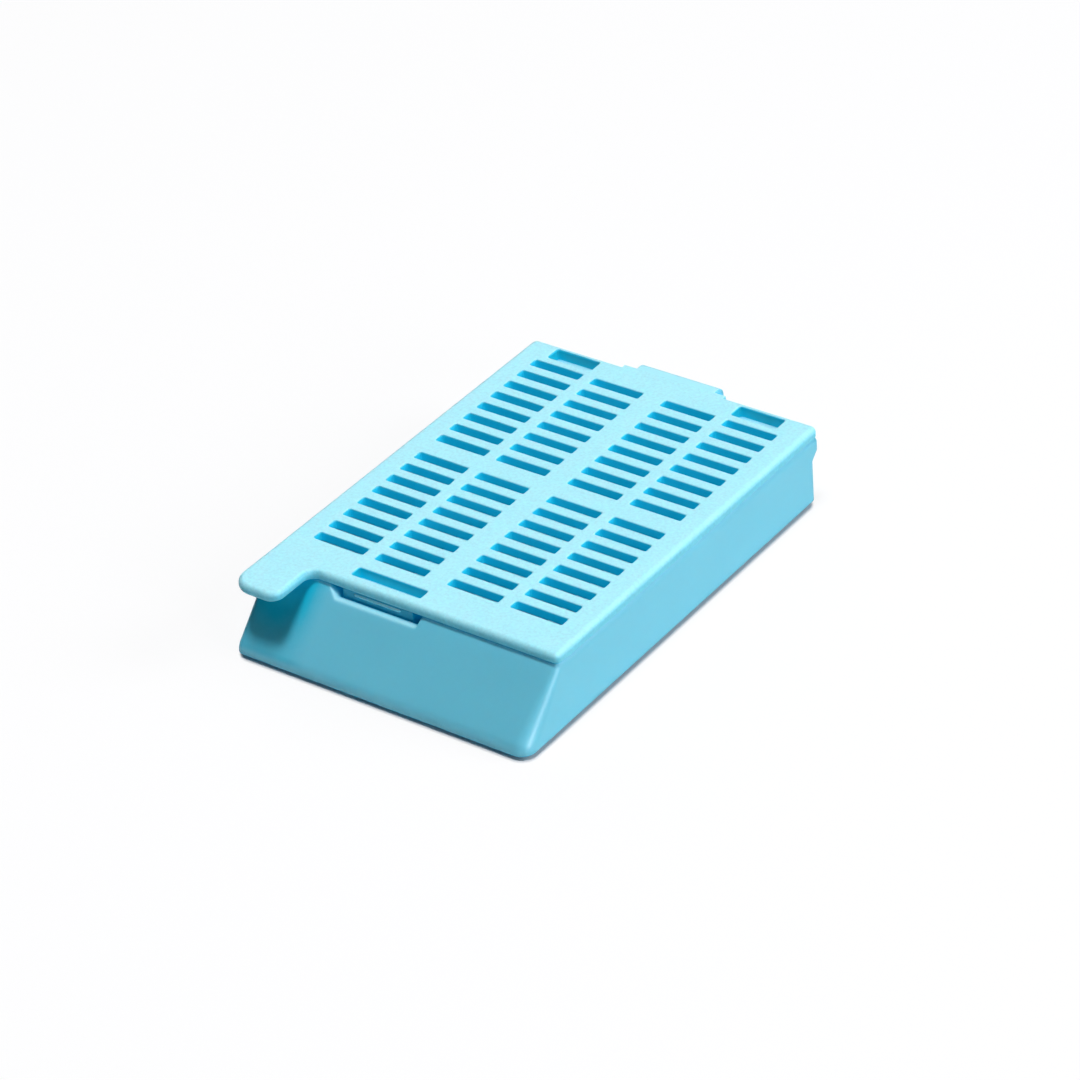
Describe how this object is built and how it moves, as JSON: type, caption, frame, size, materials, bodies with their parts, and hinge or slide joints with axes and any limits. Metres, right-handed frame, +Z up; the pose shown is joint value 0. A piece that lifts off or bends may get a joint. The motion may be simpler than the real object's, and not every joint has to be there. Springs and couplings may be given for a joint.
{
  "type": "tissue cassette",
  "caption": "Hinged histology cassette: slotted tray with a sloping writing face, slotted snap-shut lid with a thumb tab, and a thin living hinge at the rear.",
  "frame": {"origin": "on the plane the foot rim stands on, under the middle of the closed cassette's overall length and width", "axes": "+X to the right seen from the writing face, +Y towards the hinge, +Z up through the lid"},
  "size_m": [0.0286, 0.0436, 0.0069],
  "materials": {
    "acetal": "matt aqua blue acetal with a fine satin grain"
  },
  "bodies": {
    "base": {"base": "acetal", "living_hinge": "acetal"},
    "lid": {"lid": "acetal"}
  },
  "joints": [
    {"name": "lid_hinge", "type": "hinge", "parent": "base", "child": "lid", "pos_m": [0, 0.0221, 0.0059], "axis": [-1, 0, 0], "range_deg": [0, 180], "deforming": ["living_hinge"]}
  ]
}
